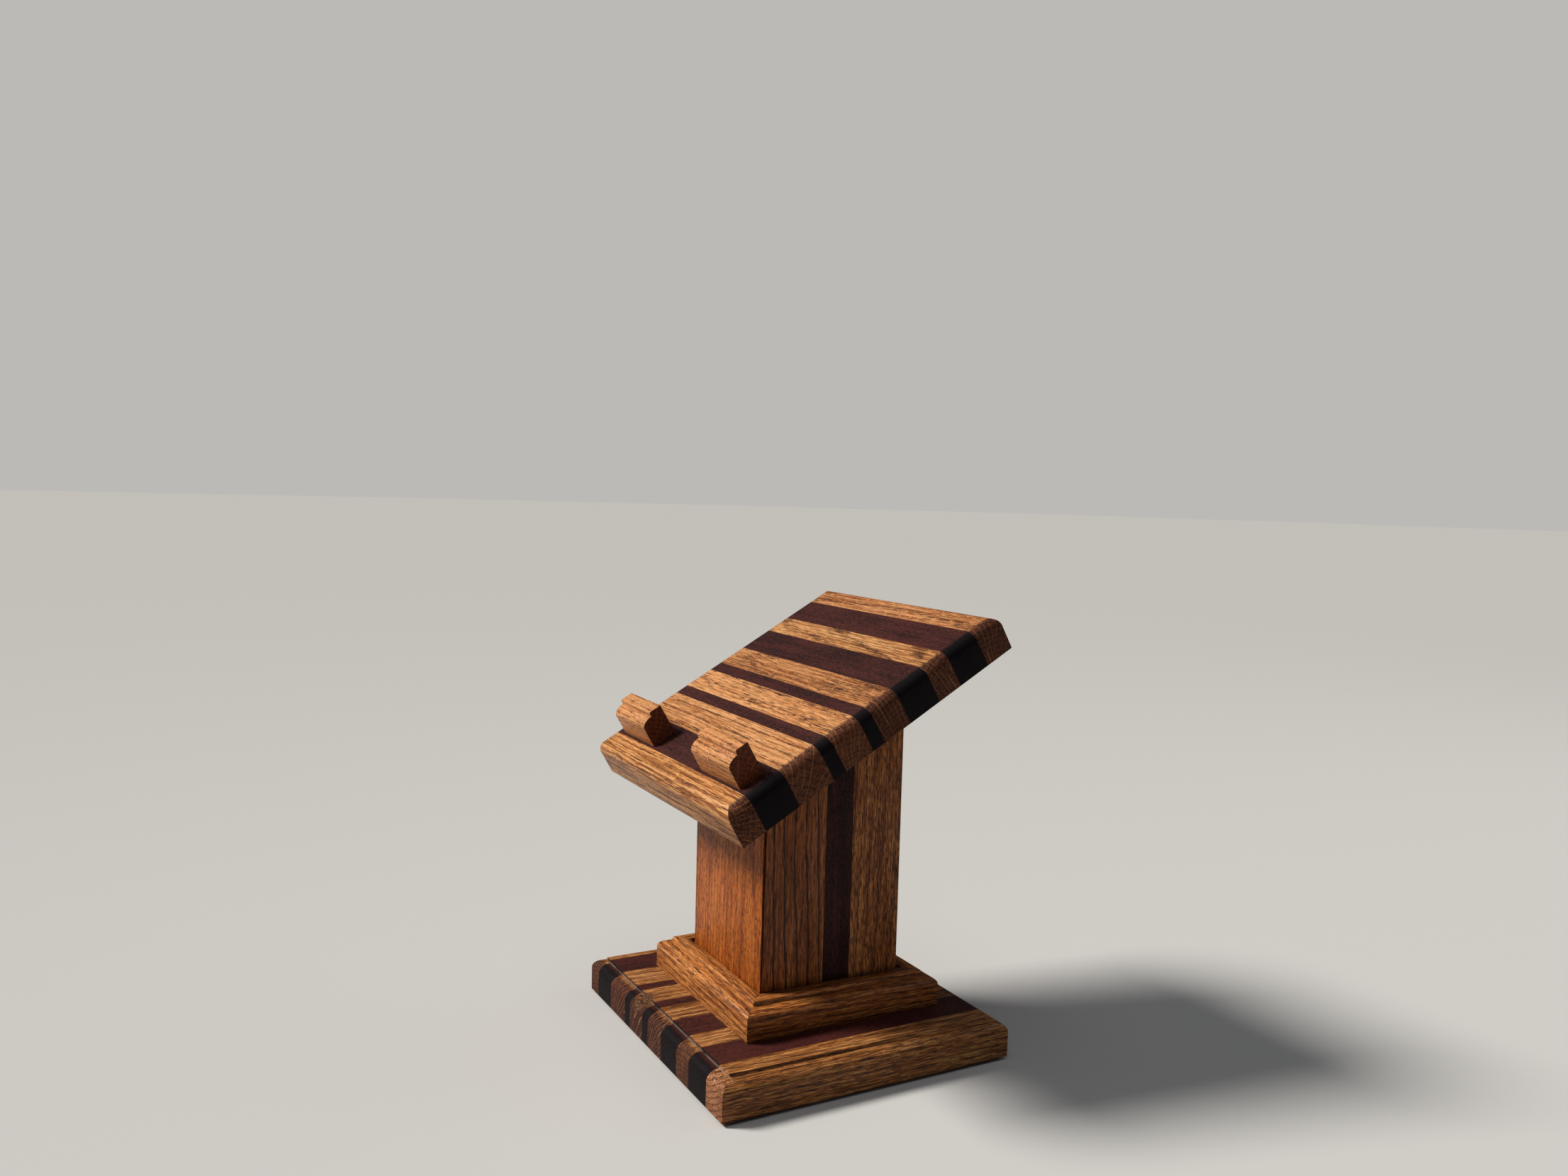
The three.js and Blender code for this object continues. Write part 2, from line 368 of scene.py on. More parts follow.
def oakMaterial(name, grain, place, **changes):
    look = oakBoard | changes
    heart, seed, lineWidth, spread = look["heart"], look["seed"], look["lineWidth"], look["spread"]
    material, tree, shader, wire = newMaterial(name)
    space = boardSpace(wire, grain, place, heart)
    x, y, z = space.axes()
    slowBend = noise(wire, space, (45, 150, 45), 2, seed) - 0.5
    wiggle = noise(wire, space, (5, 9, 5), 2, seed + 3) - 0.5
    bend = slowBend * 9 + wiggle * 1.1
    curved = bent(wire, x, y, z, bend)
    radius = ((x + bend) ** 2 + (z + bend * 0.7) ** 2) ** 0.5
    phase = wire.math("FRACT", (radius + y * look["taper"]) / look["rings"])
    early = phase.ramp(0.0, lineWidth * 0.2) * (1 - phase.ramp(lineWidth * 0.45, lineWidth * 1.4))
    across = endGrain(wire, grain)

    # bands of pale and dark wood, broken long lines in the early wood, short open pores
    banding = noise(wire, curved, (oakLook["bandSize"], 110, oakLook["bandSize"]), 2, seed + 5, 0.6)
    slow = noise(wire, space, (16, 90, 16), 1, seed + 23)
    fibre = noise(wire, curved, (0.62, 15, 0.62), 2.5, seed + 17, 0.7)
    lineBreak = noise(wire, curved, (0.9, 26, 0.9), 2, seed + 11, 0.6)
    longLines = lineBreak.ramp(look["broken"], look["broken"] + 0.1) * (early * 0.85 + 0.15)
    pores = noise(wire, curved, look["dashSize"], 1.5, seed + 7, 0.6)
    openPores = pores.ramp(0.64 - 0.14 * look["dashes"], 0.69 - 0.12 * look["dashes"])
    openPores = openPores * (early * (1 - spread) + spread)

    # medullary rays fan out from the heart; they silver a face that is cut along them
    turnAround = wire.math("ARCTAN2", x + bend, z + bend * 0.7) * (abs(heart[2]) + 10)
    fan = combined(wire, turnAround, radius, y)
    fade = noise(wire, fan, (2.5, 14, 12), 1, seed + 29)
    rayPhase = abs(wire.math("FRACT", turnAround / look["rayGap"] + fade * 0.9) - 0.5)
    rays = (1 - rayPhase.ramp(0.02, 0.08)) * fade.ramp(0.30, 0.54)
    silver = noise(wire, curved, (4.5, 2.2, 1.4), 2, seed + 31, 0.7).ramp(0.56, 0.66)

    shade = (banding.ramp(0.34, 0.66) - 0.5) * (0.75 * look["bands"]) + (slow - 0.5) * 0.7
    shade = shade + (fibre - 0.5) * 1.9 + early * 0.2 + look["tone"]
    wood = wire.node("ShaderNodeValToRGB", {"stops": oakLook["ground"]}, {0: shade}, "Color")
    wood = (silver * (look["flecks"] * (1 - across))).mix(wood, oakLook["silver"])
    wood = (longLines * (look["lines"] * 0.85)).mix(wood, oakLook["line"])
    wood = (openPores * look["dashDepth"]).mix(wood, oakLook["pore"])
    if look["scratches"]:
        # fine sanding marks that run askew to the grain
        skewed = combined(wire, x * 0.8 + y * 0.6 + wiggle * 5, y * 0.8 - x * 0.6, z)
        marks = noise(wire, skewed, (0.55, 16, 9), 2, seed + 41, 0.6).ramp(0.55, 0.66)
        wood = (marks * look["scratches"]).mix(wood, oakLook["scratch"])
    endWood = across.mix(wood, multiply(wire, wood, colour(*look["end"])))
    wood = (rays * across * 0.7).mix(endWood, oakLook["ray"])
    wood = multiply(wire, wood, colour(*look["tint"]))
    # painted highlight along the base's step edge, with sanding dust
    if look["dust"]:
        wood = (creaseDustAndHighlight(wire, seed) * 0.45).mix(wood, dustHighlightColour)

    rough = oakLook["roughness"] + openPores * 0.22 + fibre * 0.12 + across * 0.14
    height = (1 - openPores) * 0.8 + fibre * 0.40 - longLines * 0.4 - early * 0.15
    if look["scar"]:
        torn = nearPoint(wire, *look["scar"], seed)
        splinters = noise(wire, curved, (0.5, 2.5, 0.5), 2, seed + 37, 0.7).ramp(0.42, 0.60)
        wood = (torn * 0.85).mix(wood, splinters.mix(oakLook["line"], oakLook["splinter"]))
        height = height + torn * (splinters * 2.0 - 2.0)
    bump = bumpOf(wire, height, oakLook["bump"], oakLook["bumpDepth"])
    coat = (1 - across) * oakLook["coat"]
    join(tree, shader, **{"Base Color": wood, "Roughness": rough, "Normal": bump, "Coat Weight": coat})
    shader.inputs["Coat Roughness"].default_value = oakLook["coatRoughness"]
    shader.inputs["Specular IOR Level"].default_value = oakLook["specular"]
    return material


darkLook = {
    "lit": colour(0.058, 0.0135, 0.0105),
    "deep": colour(0.013, 0.0034, 0.0032),
    "fleck": colour(0.150, 0.062, 0.050),
    "end": colour(0.0010, 0.0013, 0.0024),
    "bump": 0.5,
    "bumpDepth": 0.16 * mm,
    "roughness": 0.50,
    "coat": 0.09,            # on top of the end grain's
    "endCoat": 0.02,
    "coatRoughness": 0.42,
    "specular": 0.07,
}


def darkMaterial(name, grain, place, heart, seed, tone, dust=False):
    material, tree, shader, wire = newMaterial(name)
    space = boardSpace(wire, grain, place, heart)
    x, y, z = space.axes()
    wiggle = noise(wire, space, (6, 14, 6), 2, seed + 3) - 0.5
    curved = bent(wire, x, y, z, wiggle * 1.2)
    ribbons = noise(wire, curved, (3.5, 110, 3.5), 2, seed, 0.55)
    cloud = noise(wire, space, (20, 45, 20), 1, seed + 21)
    fibre = noise(wire, curved, (0.7, 6, 0.7), 2.5, seed + 5, 0.7)
    specks = noise(wire, space, (0.8, 1.3, 0.8), 2, seed + 9, 0.7).ramp(0.55, 0.68)
    pores = noise(wire, curved, (0.7, 4, 0.7), 1.5, seed + 13, 0.6).ramp(0.54, 0.62)
    across = endGrain(wire, grain)
    shade = (ribbons - 0.5) * 1.1 + (cloud - 0.5) * 0.9 + (fibre - 0.5) * 1.6 + tone
    wood = shade.ramp(0.0, 1.0).mix(darkLook["lit"], darkLook["deep"])
    wood = (specks * 0.32).mix(wood, darkLook["fleck"])
    wood = (pores * 0.60).mix(wood, darkLook["end"])
    wood = (across * 0.92).mix(wood, darkLook["end"])
    # painted highlight along the base's step edge, with sanding dust
    if dust:
        wood = (creaseDustAndHighlight(wire, seed) * 0.35).mix(wood, dustHighlightColour)
    rough = darkLook["roughness"] + pores * 0.18 + fibre * 0.12 + across * 0.04
    height = (1 - pores) * 0.6 + fibre * 0.35
    bump = bumpOf(wire, height, darkLook["bump"], darkLook["bumpDepth"])
    coat = (1 - across) * darkLook["coat"] + darkLook["endCoat"]
    join(tree, shader, **{"Base Color": wood, "Roughness": rough, "Normal": bump, "Coat Weight": coat})
    shader.inputs["Coat Roughness"].default_value = darkLook["coatRoughness"]
    shader.inputs["Specular IOR Level"].default_value = darkLook["specular"]
    return material


paleLook = {
    "heart": (9, 0, -26),
    "rings": 2.6,
    "early": colour(0.60, 0.39, 0.20),
    "late": colour(0.38, 0.20, 0.085),
    "end": colour(0.30, 0.17, 0.08),
}


def paleMaterial(name, grain, place, seed):
    # close-grained softwood, used where it is not seen
    material, tree, shader, wire = newMaterial(name)
    space = boardSpace(wire, grain, place, paleLook["heart"])
    x, _, z = space.axes()
    wander = noise(wire, space, (14, 60, 14), 2, seed) - 0.5
    radius = ((x + wander * 3) ** 2 + (z + wander * 3) ** 2) ** 0.5
    late = wire.math("FRACT", radius / paleLook["rings"]).ramp(0.35, 0.95)
    fibre = noise(wire, space, (0.4, 9, 0.4), 2, seed + 4, 0.6)
    wood = (late * 0.7 + fibre * 0.3).mix(paleLook["early"], paleLook["late"])
    wood = (endGrain(wire, grain) * 0.5).mix(wood, paleLook["end"])
    bump = bumpOf(wire, fibre + late * 0.4, 0.4, 0.1 * mm)
    join(tree, shader, **{"Base Color": wood, "Roughness": fibre * 0.2 + 0.55, "Normal": bump})
    return material


steelLook = {
    "bright": colour(0.62, 0.50, 0.28),
    "dull": colour(0.36, 0.29, 0.19),
    "rust": colour(0.10, 0.045, 0.02),
}


def steelMaterial():
    # yellow zinc plating, dulled in patches, with fine marks and specks of rust
    material, tree, shader, wire = newMaterial("plated steel")
    point = wire.node("ShaderNodeTexCoord", {}, {}, "Object")
    dull = noise(wire, point, [1.6 * mm] * 3, 3, 4.0, 0.6).ramp(0.42, 0.62)
    marks = noise(wire, point, (0.2 * mm, 0.2 * mm, 0.9 * mm), 2, 8.0, 0.6)
    spots = noise(wire, point, [0.8 * mm] * 3, 2, 12.0, 0.6).ramp(0.60, 0.70)
    metal = (spots * 0.7).mix(dull.mix(steelLook["bright"], steelLook["dull"]), steelLook["rust"])
    rough = dull * 0.2 + marks * 0.15 + spots * 0.25 + 0.22
    bare = 1 - spots * 0.6
    bump = bumpOf(wire, marks + spots * 0.6, 0.3, 0.05 * mm)
    join(tree, shader, **{"Base Color": metal, "Roughness": rough, "Metallic": bare, "Normal": bump})
    return material


feltLook = {
    "deep": colour(0.008, 0.0075, 0.007),
    "lit": colour(0.050, 0.046, 0.042),
    "lint": colour(0.20, 0.19, 0.18),
    "sheen": 0.4,
}


def feltMaterial():
    # short fibres pressed every way, with lint caught in them
    material, tree, shader, wire = newMaterial("felt")
    point = wire.node("ShaderNodeTexCoord", {}, {}, "Object")
    first = noise(wire, point, (0.2 * mm, 1.2 * mm, 0.4 * mm), 2, 3.0, 0.65)
    second = noise(wire, point, (1.2 * mm, 0.2 * mm, 0.4 * mm), 2, 9.0, 0.65)
    matted = noise(wire, point, [3 * mm] * 3, 2, 15.0, 0.6)
    lint = noise(wire, point, (0.5 * mm, 0.3 * mm, 0.3 * mm), 2, 21.0, 0.6).ramp(0.66, 0.74)
    fibres = wire.math("MAXIMUM", first, second)
    wool = (fibres * 0.7 + matted * 0.5).ramp(0.35, 0.95).mix(feltLook["deep"], feltLook["lit"])
    wool = (lint * 0.5).mix(wool, feltLook["lint"])
    bump = bumpOf(wire, fibres + matted * 0.8 + lint * 0.3, 0.9, 0.3 * mm)
    join(tree, shader, **{"Base Color": wool, "Roughness": 0.98 - fibres * 0.1, "Normal": bump})
    shader.inputs["Sheen Weight"].default_value = feltLook["sheen"]
    return material


base = {
    "straight": 15.6 * mm,   # upright part of the edge
    "reach": 8.2 * mm,       # how far the routed curve runs in
    "rise": 6.4 * mm,
    "steps": 14,
    "corner": 0.5 * mm,      # sanded corners
    "joint": 0.10 * mm,      # softened glue lines
    "crease": Vector((0, -91.8, 24.0)) * mm,  # the step's top edge at the front
    "tornPlace": Vector((-22.6, -94.9, 23.7)) * mm,  # where the cutter tore the fifth strip's edge
    "tornSize": Vector((8.6, 3.6, 1.5)) * mm,
    "tornLumps": (-0.62, -0.12, 0.30, 0.70),  # their places along the torn spot
    "tornRoughness": 0.28,   # millimetres
    "tornStrip": 4,
    "tornSeed": 17,
}
screw = {
    "sides": 40,
    "rim": 0.4 * mm,
    "head": 3.0 * mm,        # height
    "shank": 2.0 * mm,       # radius
    "length": 48 * mm,
    "tip": 6 * mm,
    "point": 0.25 * mm,
    "slot": 0.9 * mm,        # cross recess
    "cross": 4.6 * mm,
    "slotDepth": 1.6 * mm,
    "edge": 0.12 * mm,
    "clearance": 0.3 * mm,   # of its hole
    "overrun": 4 * mm,       # the hole starts this far under the base
}
pad = {
    "sides": 96,
    "edge": 0.45 * mm,
    "rows": 7,
    "fuzz": 0.12 * mm,
}
screwNodes = [f"base_screw_{i}" for i in range(1, 5)]
padNodes = [f"felt_pad_{end}_{side}" for end in ("front", "back") for side in ("left", "right")]
woods = "odododododo"  # oak and the dark wood, strip by strip
baseNodes = [f"base_strip_{i:02d}" for i in range(1, 12)]
boardNodes = [f"board_strip_{i:02d}" for i in range(1, 12)]
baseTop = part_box("base_strip_06")[1].z


def routedPanel(name, low, high, look):
    # upright edge, then the curve, then a step up to the top face where one is left
    piece = addBlock(name, low, (high[0], high[1], low[2] + look["straight"]))
    middle = [(a + b) / 2 for a, b in zip(low, high)]
    wide, deep = high[0] - low[0], high[1] - low[1]
    editFaces(piece, lambda centre, normal: normal.z > 0.9)
    inset, height = 0.0, 0.0
    for nextInset, nextHeight in quarterRound(look["reach"], look["rise"], look["steps"]):
        bpy.ops.mesh.extrude_region_move(TRANSFORM_OT_translate={"value": (0, 0, nextHeight - height)})
        factors = [(size - 2 * nextInset) / (size - 2 * inset) for size in (wide, deep)]
        bpy.ops.transform.resize(value=(*factors, 1), center_override=(middle[0], middle[1], 0))
        inset, height = nextInset, nextHeight
    left = high[2] - low[2] - look["straight"] - height
    if left > 0.01 * mm:
        bpy.ops.mesh.extrude_region_move(TRANSFORM_OT_translate={"value": (0, 0, left)})
    leaveEdit()
    return piece


def jointsBetween(spans):
    # a cut in the middle of each glue line, and none at the two outer ends
    cuts = [(a[1] + b[0]) / 2 for a, b in zip(spans, spans[1:])]
    return [None, *cuts, None]


def screwShape(name, node, clearance=0):
    # a countersunk head under a shank, standing on its head; with clearance it is the hole instead
    low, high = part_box(node)
    middle = (low + high) / 2
    foot = low.z - (screw["overrun"] if clearance else 0)
    head = (high.x - low.x) / 2 + clearance
    rim = low.z + screw["rim"] - foot
    shape = addCylinder(name, screw["sides"], head, rim, (middle.x, middle.y, foot + rim / 2))
    shank = screw["shank"] + clearance
    editFaces(shape, lambda centre, normal: normal.z > 0.9)
    steps = [(screw["head"] - screw["rim"], shank),
             (screw["length"] - screw["head"] - screw["tip"], shank),
             (screw["tip"], screw["point"])]
    size = head
    for rise, nextSize in steps:
        bpy.ops.mesh.extrude_region_move(TRANSFORM_OT_translate={"value": (0, 0, rise)})
        factor = nextSize / size
        bpy.ops.transform.resize(value=(factor, factor, 1), center_override=(middle.x, middle.y, 0))
        size = nextSize
    leaveEdit()
    return shape


def cutWith(piece, cutter):
    applyModifier(piece, "BOOLEAN", "cut", operation="DIFFERENCE", solver="EXACT", object=cutter)
    removePiece(cutter)


def drillForScrews(strip, span):
    for node in screwNodes:
        low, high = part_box(node)
        if span[0].x < low.x and high.x < span[1].x:
            cutWith(strip, screwShape("screw hole", node, screw["clearance"]))


def tearOut(piece, place, size, draw):
    # a ragged hollow: a few lumps of uneven outline taken out side by side
    for shift in base["tornLumps"]:
        clearSelection()
        middle = place + Vector((size.x * shift, size.y * draw.uniform(-0.3, 0.2), 0))
        bpy.ops.mesh.primitive_ico_sphere_add(subdivisions=3, radius=1, location=middle)
        lump = bpy.context.object
        lump.name = "torn lump"
        spread = [draw.uniform(*limits) for limits in ((0.34, 0.5), (0.6, 1.0), (0.7, 1.1))]
        lump.scale = [length * factor for length, factor in zip(size, spread)]
        settle(lump)
        for point in lump.data.vertices:
            outward = (point.co - middle).normalized()
            point.co += outward * draw.uniform(-base["tornRoughness"], base["tornRoughness"]) * mm
        cutWith(piece, lump)


def makeScrews():
    steel = steelMaterial()
    for i, node in enumerate(screwNodes):
        piece = screwShape(f"screw_{i + 1}", node)
        low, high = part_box(node)
        middle = (low + high) / 2
        for across, along in ((screw["slot"], screw["cross"]), (screw["cross"], screw["slot"])):
            start = (middle.x - across / 2, middle.y - along / 2, low.z - 1 * mm)
            end = (middle.x + across / 2, middle.y + along / 2, low.z + screw["slotDepth"])
            cutWith(piece, addBlock("driver slot", start, end))
        softenEdges(piece, screw["edge"], angle=35)
        smoothFaces(piece)
        ready(piece, steel, "steel", node)
    print("screws made")


def fuzz(piece, middle, draw):
    # the felt's faces are not quite flat: each point goes in a little, never past its box
    for point in piece.data.vertices:
        inward = (middle - point.co).normalized()
        point.co += inward * draw.uniform(0, pad["fuzz"])


def makePads():
    felt = feltMaterial()
    for node in padNodes:
        low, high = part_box(node)
        middle = (low + high) / 2
        radius = (high.x - low.x) / 2
        name = node.replace("felt_pad", "pad")
        piece = addCylinder(name, pad["sides"], radius, high.z - low.z, middle)
        softenEdges(piece, pad["edge"], segments=4)
        editFaces(piece, lambda centre, normal: abs(normal.z) > 0.99)
        for _ in range(pad["rows"]):
            bpy.ops.mesh.inset(thickness=(radius - pad["edge"]) / (pad["rows"] + 1), depth=0)
        leaveEdit()
        fuzz(piece, middle, random.Random(node))
        smoothFaces(piece, angle=80)
        ready(piece, felt, "felt", node)
    print("pads made")


def slotOf(wood):
    return "oak" if wood == "o" else "dark_wood"


def stripMaterial(name, wood, grain, place, look):
    if wood == "o":
        return oakMaterial(name + " oak", grain, place, **look)
    return darkMaterial(name + " dark", grain, place, **look)


def cutStrip(strip, cuts, i, along):
    # leaves what is between two joints of the panel; the joints follow each other in this direction
    if cuts[i] is not None:
        cutAway(strip, along * cuts[i], -along)
    if cuts[i + 1] is not None:
        cutAway(strip, along * cuts[i + 1], along)


def makeBase():
    boxes = [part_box(node) for node in baseNodes]
    low, high = boxes[0][0], boxes[-1][1]
    panel = routedPanel("base panel", low, high, base)
    softenEdges(panel, base["corner"], segments=3, angle=30)
    cuts = jointsBetween([(a.x, b.x) for a, b in boxes])
    grain = Grain((1, 0, 0), (0, 1, 0))
    for i, node in enumerate(baseNodes):
        strip = copyPiece(panel, f"base_{i + 1:02d}")
        cutStrip(strip, cuts, i, grain.across)
        softenEdges(strip, base["joint"], segments=1, angle=60)
        smoothFaces(strip)
        drillForScrews(strip, boxes[i])
        if i == base["tornStrip"]:
            tearOut(strip, base["tornPlace"], base["tornSize"], random.Random(base["tornSeed"]))
        middle = ((boxes[i][0].x + boxes[i][1].x) / 2, 0, (low.z + high.z) / 2)
        wood = stripMaterial(f"base {i + 1}", woods[i], grain, middle, baseBoards[i])
        ready(strip, wood, slotOf(woods[i]), node)
    removePiece(panel)
    print("base made")


def boards(seed, oaks, tones, dust=False):
    # each strip is sawn from its own board; heart: the tree's middle, in millimetres from the strip's
    draw = random.Random(seed)
    looks = []
    for i, wood in enumerate(woods):
        heart = (draw.uniform(-30, 30), draw.uniform(-300, 300),
                 draw.choice((-1, 1)) * draw.uniform(30, 80))
        look = {"dust": dust, "heart": heart, "seed": draw.uniform(0, 90), "tone": tones[i]}
        if wood == "o":
            look |= {"taper": draw.uniform(-0.03, 0.03), **oaks[i // 2]}
        looks.append(look)
    return looks


baseOak = {"lines": 0.8, "dashes": 0.8, "spread": 0.7, "end": (0.18, 0.10, 0.075)}
baseOaks = [
    baseOak | {"rings": 3.0, "lines": 0.7},
    baseOak | {"rings": 3.4, "lines": 0.7, "heart": (26, 50, 44), "end": (0.19, 0.085, 0.040)},
    baseOak | {"rings": 2.6, "heart": (34, 20, 60), "rayGap": 7.0, "scar": (base["tornPlace"], 9.5)},
    baseOak | {"rings": 2.8, "bands": 0.7},
    baseOak | {"rings": 3.2, "end": (0.24, 0.15, 0.13)},
    baseOak | {"rings": 3.4, "heart": (26, 60, -50), "dashes": 0.9, "dashSize": (0.55, 12, 0.55),
               "spread": 0.8, "end": (0.95, 1.0, 1.6), "tint": (0.96, 0.90, 0.78)},
]
baseTones = [0.45, 0.2, 0.45, 0.2, 0.42, 0.2, 0.42, 0.2, 0.42, 0.15, 0.36]
# the base's strips carry the painted highlight and sanding dust along the step's top edge
baseBoards = boards(4, baseOaks, baseTones, dust=True)
makeBase()
makeScrews()
makePads()


ledge = {
    "tilt": math.radians(30),  # as the frame has it
    "thickness": 24 * mm,
    "straight": 16.5 * mm,
    "reach": 7.5 * mm,
    "rise": 7.5 * mm,
    "steps": 14,
    "corner": 0.4 * mm,
    "joint": 0.10 * mm,
}
sine, cosine = math.sin(ledge["tilt"]), math.cos(ledge["tilt"])


def ledgeFrame():
    # the middle of the board's lowest edge, its width and its length up the slope
    first, second, last = [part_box(boardNodes[i]) for i in (0, 1, 10)]
    footZ = first[0].z
    secondStart = (second[0].z - footZ) / sine
    footY = second[0].y + ledge["thickness"] * sine - secondStart * cosine
    length = (last[1].y - footY) / cosine
    return Vector(((first[0].x + first[1].x) / 2, footY, footZ)), first[1].x - first[0].x, length


ledgeFoot, ledgeWidth, ledgeLength = ledgeFrame()
ledgeGrain = Grain((0, cosine, sine), (1, 0, 0))
ledgeNick = ledgeFoot + Vector((-21, 107.5 * cosine - 24 * sine, 107.5 * sine + 24 * cosine)) * mm
ledgeOak = {"bands": 0.9, "dashes": 0.8, "end": (0.22, 0.14, 0.12)}
ledgeOaks = [
    ledgeOak | {"rings": 4.0, "lines": 0.35, "bands": 1.3, "dashes": 0.45, "heart": (26, 120, 24),
                "tint": (1, 0.93, 0.80)},
    ledgeOak | {"rings": 5.0, "lines": 0.8, "bands": 0.8, "dashes": 0.7, "heart": (34, -80, -20),
                "lineWidth": 0.25, "rayGap": 2.3, "tint": (1, 0.93, 0.92)},
    ledgeOak | {"rings": 3.2, "lines": 0.5, "bands": 0.8, "dashes": 0.7, "dashSize": (0.75, 12, 0.75),
                "heart": (18, 200, -44), "spread": 0.6, "dashDepth": 0.95, "tint": (1.0, 0.92, 0.90)},
    ledgeOak | {"rings": 2.8, "flecks": 0.8, "tint": (0.86, 0.76, 0.72), "scar": (ledgeNick, 1.6)},
    ledgeOak | {"rings": 2.2, "lines": 0.8},
    ledgeOak | {"rings": 3.2, "lines": 0.4, "dashes": 0.9, "flecks": 1.0, "tint": (0.94, 0.84, 0.84)},
]
ledgeTones = [0.27, 0.5, 0.17, 0.5, 0.08, 0.5, 0.30, 0.5, 0.26, 0.42, 0.33]
ledgeBoards = boards(11, ledgeOaks, ledgeTones)


def layOnSlope(piece):
    # from the flat bench to the stand: x across, y up the slope, z off the board
    piece.matrix_world = Matrix.Translation(ledgeFoot) @ Matrix.Rotation(ledge["tilt"], 4, "X")
    settle(piece)


def makeLedge():
    # made flat on the bench, then turned onto the slope strip by strip
    corner = (ledgeWidth / 2, ledgeLength, ledge["thickness"])
    panel = routedPanel("ledge panel", (-ledgeWidth / 2, 0, 0), corner, ledge)
    softenEdges(panel, ledge["corner"], segments=3, angle=50)
    spans = []
    for node in boardNodes:
        low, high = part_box(node)
        spans.append(((low.z - ledgeFoot.z) / sine, (high.y - ledgeFoot.y) / cosine))
    cuts = jointsBetween(spans)
    for i, node in enumerate(boardNodes):
        strip = copyPiece(panel, f"board_{i + 1:02d}")
        cutStrip(strip, cuts, i, Vector((0, 1, 0)))
        softenEdges(strip, ledge["joint"], segments=1, angle=60)
        layOnSlope(strip)
        smoothFaces(strip)
        middle = ledgeFoot + Vector((0, cosine, sine)) * sum(spans[i]) / 2
        wood = stripMaterial(f"board {i + 1}", woods[i], ledgeGrain, middle, ledgeBoards[i])
        ready(strip, wood, slotOf(woods[i]), node)
    removePiece(panel)
    print("ledge board made")


makeLedge()


moulding = {
    "depth": 16.8 * mm,
    "height": 21.6 * mm,
    "straight": 13.7 * mm,
    "reach": 8.0 * mm,
    "rise": 4.9 * mm,
    "step": 2.0 * mm,
    "round": 1.0 * mm,
    "steps": 14,
    "roundSteps": 5,
    "edge": 0.25 * mm,
    "mitreGap": 0.05 * mm,
    "hearts": ((18, 0, -30), (5, 40, -17), (36, 280, -42), (45, 420, -48)),
    "tones": (0.22, 0.40, 0.35, 0.35),
    "oak": {"rings": 4.2, "taper": 0.05, "lines": 0.7, "bands": 0.7, "dashes": 0.8, "spread": 0.7,
            "tint": (1, 0.80, 0.56)},
}
block = {
    "edge": 0.35 * mm,
    "oak": {"rings": 3.0, "tone": 0.10, "lines": 0.5, "flecks": 0.8, "scratches": 0.55,
            "tint": (1, 0.88, 0.82), "end": (0.24, 0.12, 0.10)},
}


def mouldedLength(name, length):
    # runs along X, its worked face at y = 0 facing -Y, its foot at z = 0
    look = moulding
    piece = addBlock(name, (-length / 2, 0, 0), (length / 2, look["depth"], look["straight"]))
    editFaces(piece, lambda centre, normal: normal.z > 0.9)
    inset, height = 0.0, look["straight"]
    ovolo = quarterRound(look["reach"], look["rise"], look["steps"])
    curve = [(i, look["straight"] + z) for i, z in ovolo]
    stepTop = look["straight"] + look["rise"] + look["step"]
    curve.append((look["reach"], stepTop))
    cap = quarterRound(look["round"], look["height"] - stepTop, look["roundSteps"])
    curve += [(look["reach"] + i, stepTop + z) for i, z in cap]
    for nextInset, nextHeight in curve:
        bpy.ops.mesh.extrude_region_move(TRANSFORM_OT_translate={"value": (0, 0, nextHeight - height)})
        factor = (look["depth"] - nextInset) / (look["depth"] - inset)
        bpy.ops.transform.resize(value=(1, factor, 1), center_override=(0, look["depth"], 0))
        inset, height = nextInset, nextHeight
    leaveEdit()
    return piece


def makeMouldings():
    # a square frame, glued down on the base
    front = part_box("moulding_front")[0]
    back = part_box("moulding_back")[1]
    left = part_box("moulding_left")[0]
    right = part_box("moulding_right")[1]
    size = back.y - front.y
    centre = Vector(((left.x + right.x) / 2, (front.y + back.y) / 2, front.z))
    for i, side in enumerate(("front", "right", "back", "left")):
        piece = mouldedLength(f"moulding_{side}_oak", size)
        reach = size / 2 - moulding["mitreGap"]
        cutAway(piece, (reach, 0, 0), (1, 1, 0))
        cutAway(piece, (-reach, 0, 0), (-1, 1, 0))
        softenEdges(piece, moulding["edge"], angle=50)
        turn = Matrix.Rotation(i * math.pi / 2, 4, "Z")
        outward = Vector((0, -size / 2, 0))
        onBase = Matrix.Translation((centre.x, centre.y, baseTop))
        piece.matrix_world = onBase @ turn @ Matrix.Translation(outward)
        settle(piece)
        smoothFaces(piece)
        grain = Grain(turn @ Vector((0, 1, 0)), turn @ Vector((1, 0, 0)))
        look = moulding["oak"] | {"heart": moulding["hearts"][i], "tone": moulding["tones"][i],
                                  "seed": 31 + 7 * i}
        oak = oakMaterial(f"moulding {side} oak", grain, centre + (turn @ outward), **look)
        ready(piece, oak, "oak", f"moulding_{side}")
    print("mouldings made")


def makeBlocks():
    for side, seed in (("left", 3.0), ("right", 8.0)):
        node = f"album_block_{side}"
        low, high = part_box(node)
        piece = mouldedLength(f"stop_block_{side}", high.x - low.x)
        softenEdges(piece, block["edge"], angle=50)
        # its lower back edge is the part of it that lies furthest back
        rise = ledge["thickness"]
        setback = (high.y - ledgeFoot.y + rise * sine) / cosine - moulding["depth"]
        piece.matrix_world = Matrix.Translation(((low.x + high.x) / 2 - ledgeFoot.x, setback, rise))
        settle(piece)
        layOnSlope(piece)
        smoothFaces(piece)
        look = block["oak"] | {"heart": (24, 60 * seed, -26), "seed": seed}
        ready(piece, oakMaterial(f"block {side} oak", ledgeGrain, (low + high) / 2, **look), "oak", node)
    print("album blocks made")


